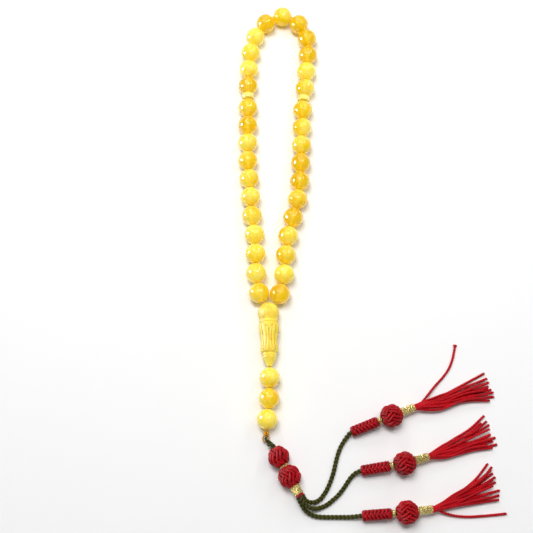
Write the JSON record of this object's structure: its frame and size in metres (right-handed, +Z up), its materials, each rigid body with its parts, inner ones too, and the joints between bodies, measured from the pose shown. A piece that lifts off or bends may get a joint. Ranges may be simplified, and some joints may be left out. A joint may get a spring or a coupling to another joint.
{
  "type": "misbaha prayer beads",
  "caption": "Loop of amber prayer beads on a thread, with divider discs, a carved head bead, a tail of beads and corded tassels that swing on green cords.",
  "frame": {"origin": "on the table, under the centre of the head bead's dome, where the loop of thread closes", "axes": "+Z up from the table, +Y from the head bead up along the loop, +X towards the side that the tassels lie on"},
  "size_m": [0.1257, 0.2766, 0.0109],
  "materials": {
    "amber": "polished natural amber, part clear and part milky",
    "carved_amber": "milky amber, carved, satin polish",
    "disc_amber": "pale milky amber, polished",
    "thread": "waxed yellow thread",
    "gold_cord": "twisted orange-gold thread, knotted",
    "green_cord": "twisted olive silk cord",
    "red_cord": "crimson silk cord, knotted and braided",
    "red_strand": "crimson twisted strands, lightly waxed",
    "gold_wrap": "wound metallic gold thread"
  },
  "bodies": {
    "head": {"imam": "carved_amber", "imam_thread": "thread"},
    "loop": {"loop_thread": "thread"},
    "tail": {"tail_thread": "thread", "gold_knot": "gold_cord"},
    "link": {"rope_link": "green_cord", "link_ball_1": "red_cord", "link_ball_2": "red_cord", "link_bands": "gold_wrap", "link_whipping": "red_cord", "green_cord_1": "green_cord", "green_cord_2": "green_cord", "green_cord_3": "green_cord"},
    "tassel_1": {"tassel_1_head": "red_cord", "tassel_1_bands": "gold_wrap", "tassel_1_strands": "red_strand"},
    "tassel_2": {"tassel_2_head": "red_cord", "tassel_2_bands": "gold_wrap", "tassel_2_strands": "red_strand"},
    "tassel_3": {"tassel_3_head": "red_cord", "tassel_3_bands": "gold_wrap", "tassel_3_strands": "red_strand"},
    "bead_01": {"bead_01": "amber"},
    "bead_02": {"bead_02": "amber"},
    "bead_03": {"bead_03": "amber"},
    "bead_04": {"bead_04": "amber"},
    "bead_05": {"bead_05": "amber"},
    "bead_06": {"bead_06": "amber"},
    "bead_07": {"bead_07": "amber"},
    "bead_08": {"bead_08": "amber"},
    "bead_09": {"bead_09": "amber"},
    "bead_10": {"bead_10": "amber"},
    "bead_11": {"bead_11": "amber"},
    "bead_12": {"bead_12": "amber"},
    "bead_13": {"bead_13": "amber"},
    "bead_14": {"bead_14": "amber"},
    "bead_15": {"bead_15": "amber"},
    "bead_16": {"bead_16": "amber"},
    "bead_17": {"bead_17": "amber"},
    "bead_18": {"bead_18": "amber"},
    "bead_19": {"bead_19": "amber"},
    "bead_20": {"bead_20": "amber"},
    "bead_21": {"bead_21": "amber"},
    "bead_22": {"bead_22": "amber"},
    "bead_23": {"bead_23": "amber"},
    "bead_24": {"bead_24": "amber"},
    "bead_25": {"bead_25": "amber"},
    "bead_26": {"bead_26": "amber"},
    "bead_27": {"bead_27": "amber"},
    "bead_28": {"bead_28": "amber"},
    "bead_29": {"bead_29": "amber"},
    "bead_30": {"bead_30": "amber"},
    "bead_31": {"bead_31": "amber"},
    "bead_32": {"bead_32": "amber"},
    "bead_33": {"bead_33": "amber"},
    "divider_left": {"divider_left": "disc_amber"},
    "divider_right": {"divider_right": "disc_amber"},
    "tail_bead_1": {"tail_bead_1": "amber"},
    "tail_bead_2": {"tail_bead_2": "amber"},
    "tail_bead_3": {"tail_bead_3": "amber"}
  },
  "joints": [
    {"name": "link_swing", "type": "hinge", "parent": "tail", "child": "link", "pos_m": [-0.00127, -0.06208, 0.0023], "axis": [0, 0, 1], "range_deg": [-20, 20]},
    {"name": "tail_swing", "type": "hinge", "parent": "head", "child": "tail", "pos_m": [0.00047, -0.0267, 0.0051], "axis": [0, 0, 1], "range_deg": [-12, 12]},
    {"name": "loop_swing", "type": "hinge", "parent": "head", "child": "loop", "pos_m": [0, 0, 0.0051], "axis": [0, 0, 1], "range_deg": [-6, 6]},
    {"name": "tassel_1_swing", "type": "hinge", "parent": "link", "child": "tassel_1", "pos_m": [0.01459, -0.08844, 0.0054], "axis": [0, 0, 1], "range_deg": [-2.5, 12], "deforming": ["green_cord_1"]},
    {"name": "tassel_2_swing", "type": "hinge", "parent": "link", "child": "tassel_2", "pos_m": [0.01459, -0.08844, 0.0054], "axis": [0, 0, 1], "range_deg": [-2.5, 2.5], "deforming": ["green_cord_2"]},
    {"name": "tassel_3_swing", "type": "hinge", "parent": "link", "child": "tassel_3", "pos_m": [0.01459, -0.08844, 0.0054], "axis": [0, 0, 1], "range_deg": [-12, 2.5], "deforming": ["green_cord_3"]},
    {"name": "turn_bead_01", "type": "hinge", "parent": "loop", "child": "bead_01", "pos_m": [-0.00477, 0.00936, 0.0051], "axis": [-0.3015, 0.9535, 0], "continuous": true},
    {"name": "turn_bead_02", "type": "hinge", "parent": "loop", "child": "bead_02", "pos_m": [-0.00621, 0.01965, 0.0051], "axis": [-0.0872, 0.9962, 0], "continuous": true},
    {"name": "turn_bead_03", "type": "hinge", "parent": "loop", "child": "bead_03", "pos_m": [-0.00658, 0.03005, 0.0051], "axis": [-0.0436, 0.999, 0], "continuous": true},
    {"name": "turn_bead_04", "type": "hinge", "parent": "loop", "child": "bead_04", "pos_m": [-0.00712, 0.04043, 0.0051], "axis": [-0.0872, 0.9962, 0], "continuous": true},
    {"name": "turn_bead_05", "type": "hinge", "parent": "loop", "child": "bead_05", "pos_m": [-0.00839, 0.05076, 0.0051], "axis": [-0.1045, 0.9945, 0], "continuous": true},
    {"name": "turn_bead_06", "type": "hinge", "parent": "loop", "child": "bead_06", "pos_m": [-0.00929, 0.06112, 0.0051], "axis": [-0.0785, 0.9969, 0], "continuous": true},
    {"name": "turn_bead_07", "type": "hinge", "parent": "loop", "child": "bead_07", "pos_m": [-0.01002, 0.07149, 0.0051], "axis": [-0.0698, 0.9976, 0], "continuous": true},
    {"name": "turn_bead_08", "type": "hinge", "parent": "loop", "child": "bead_08", "pos_m": [-0.01075, 0.08187, 0.0051], "axis": [-0.0436, 0.999, 0], "continuous": true},
    {"name": "turn_bead_09", "type": "hinge", "parent": "loop", "child": "bead_09", "pos_m": [-0.01093, 0.09226, 0.0051], "axis": [-0.0087, 1, 0], "continuous": true},
    {"name": "turn_bead_10", "type": "hinge", "parent": "loop", "child": "bead_10", "pos_m": [-0.01093, 0.10266, 0.0051], "axis": [0, 1, 0], "continuous": true},
    {"name": "turn_bead_11", "type": "hinge", "parent": "loop", "child": "bead_11", "pos_m": [-0.01093, 0.11306, 0.0051], "axis": [0, 1, 0], "continuous": true},
    {"name": "turn_bead_12", "type": "hinge", "parent": "loop", "child": "bead_12", "pos_m": [-0.01093, 0.12646, 0.0051], "axis": [0.0153, 0.9999, 0], "continuous": true},
    {"name": "turn_bead_13", "type": "hinge", "parent": "loop", "child": "bead_13", "pos_m": [-0.01056, 0.13686, 0.0051], "axis": [0.061, 0.9981, 0], "continuous": true},
    {"name": "turn_bead_14", "type": "hinge", "parent": "loop", "child": "bead_14", "pos_m": [-0.00966, 0.14722, 0.0051], "axis": [0.165, 0.9863, 0], "continuous": true},
    {"name": "turn_bead_15", "type": "hinge", "parent": "loop", "child": "bead_15", "pos_m": [-0.00714, 0.15731, 0.0051], "axis": [0.3987, 0.9171, 0], "continuous": true},
    {"name": "turn_bead_16", "type": "hinge", "parent": "loop", "child": "bead_16", "pos_m": [-0.00148, 0.16603, 0.0051], "axis": [0.7489, 0.6626, 0], "continuous": true},
    {"name": "turn_bead_17", "type": "hinge", "parent": "loop", "child": "bead_17", "pos_m": [0.00787, 0.17059, 0.0051], "axis": [0.9997, -0.024, 0], "continuous": true},
    {"name": "turn_bead_18", "type": "hinge", "parent": "loop", "child": "bead_18", "pos_m": [0.01699, 0.16559, 0.0051], "axis": [0.6836, -0.7299, 0], "continuous": true},
    {"name": "turn_bead_19", "type": "hinge", "parent": "loop", "child": "bead_19", "pos_m": [0.02138, 0.15616, 0.0051], "axis": [0.225, -0.9744, 0], "continuous": true},
    {"name": "turn_bead_20", "type": "hinge", "parent": "loop", "child": "bead_20", "pos_m": [0.02156, 0.14577, 0.0051], "axis": [-0.0349, -0.9994, 0], "continuous": true},
    {"name": "turn_bead_21", "type": "hinge", "parent": "loop", "child": "bead_21", "pos_m": [0.02066, 0.1354, 0.0051], "axis": [-0.0872, -0.9962, 0], "continuous": true},
    {"name": "turn_bead_22", "type": "hinge", "parent": "loop", "child": "bead_22", "pos_m": [0.01975, 0.12504, 0.0051], "axis": [-0.0969, -0.9953, 0], "continuous": true},
    {"name": "turn_bead_23", "type": "hinge", "parent": "loop", "child": "bead_23", "pos_m": [0.01835, 0.11172, 0.0051], "axis": [-0.0817, -0.9967, 0], "continuous": true},
    {"name": "turn_bead_24", "type": "hinge", "parent": "loop", "child": "bead_24", "pos_m": [0.01781, 0.10133, 0.0051], "axis": [-0.0436, -0.999, 0], "continuous": true},
    {"name": "turn_bead_25", "type": "hinge", "parent": "loop", "child": "bead_25", "pos_m": [0.01744, 0.09094, 0.0051], "axis": [-0.0436, -0.999, 0], "continuous": true},
    {"name": "turn_bead_26", "type": "hinge", "parent": "loop", "child": "bead_26", "pos_m": [0.0169, 0.08055, 0.0051], "axis": [-0.0523, -0.9986, 0], "continuous": true},
    {"name": "turn_bead_27", "type": "hinge", "parent": "loop", "child": "bead_27", "pos_m": [0.01635, 0.07017, 0.0051], "axis": [-0.0872, -0.9962, 0], "continuous": true},
    {"name": "turn_bead_28", "type": "hinge", "parent": "loop", "child": "bead_28", "pos_m": [0.01509, 0.05984, 0.0051], "axis": [-0.1822, -0.9833, 0], "continuous": true},
    {"name": "turn_bead_29", "type": "hinge", "parent": "loop", "child": "bead_29", "pos_m": [0.01257, 0.04975, 0.0051], "axis": [-0.2419, -0.9703, 0], "continuous": true},
    {"name": "turn_bead_30", "type": "hinge", "parent": "loop", "child": "bead_30", "pos_m": [0.01005, 0.03966, 0.0051], "axis": [-0.1822, -0.9833, 0], "continuous": true},
    {"name": "turn_bead_31", "type": "hinge", "parent": "loop", "child": "bead_31", "pos_m": [0.00879, 0.02934, 0.0051], "axis": [-0.1045, -0.9945, 0], "continuous": true},
    {"name": "turn_bead_32", "type": "hinge", "parent": "loop", "child": "bead_32", "pos_m": [0.00788, 0.01898, 0.0051], "axis": [-0.1478, -0.989, 0], "continuous": true},
    {"name": "turn_bead_33", "type": "hinge", "parent": "loop", "child": "bead_33", "pos_m": [0.00572, 0.00881, 0.0051], "axis": [-0.3835, -0.9235, 0], "continuous": true},
    {"name": "turn_divider_left", "type": "hinge", "parent": "loop", "child": "divider_left", "pos_m": [-0.01097, 0.11976, 0.0051], "axis": [-0.0253, 0.9997, 0], "continuous": true},
    {"name": "turn_divider_right", "type": "hinge", "parent": "loop", "child": "divider_right", "pos_m": [0.01901, 0.11838, 0.0051], "axis": [-0.1547, -0.988, 0], "continuous": true},
    {"name": "turn_tail_bead_1", "type": "hinge", "parent": "tail", "child": "tail_bead_1", "pos_m": [0.00058, -0.0332, 0.0051], "axis": [-0.0143, -0.9999, 0], "continuous": true},
    {"name": "turn_tail_bead_2", "type": "hinge", "parent": "tail", "child": "tail_bead_2", "pos_m": [0.00023, -0.04319, 0.0051], "axis": [-0.061, -0.9981, 0], "continuous": true},
    {"name": "turn_tail_bead_3", "type": "hinge", "parent": "tail", "child": "tail_bead_3", "pos_m": [-0.00064, -0.05315, 0.0051], "axis": [-0.0803, -0.9968, 0], "continuous": true}
  ]
}
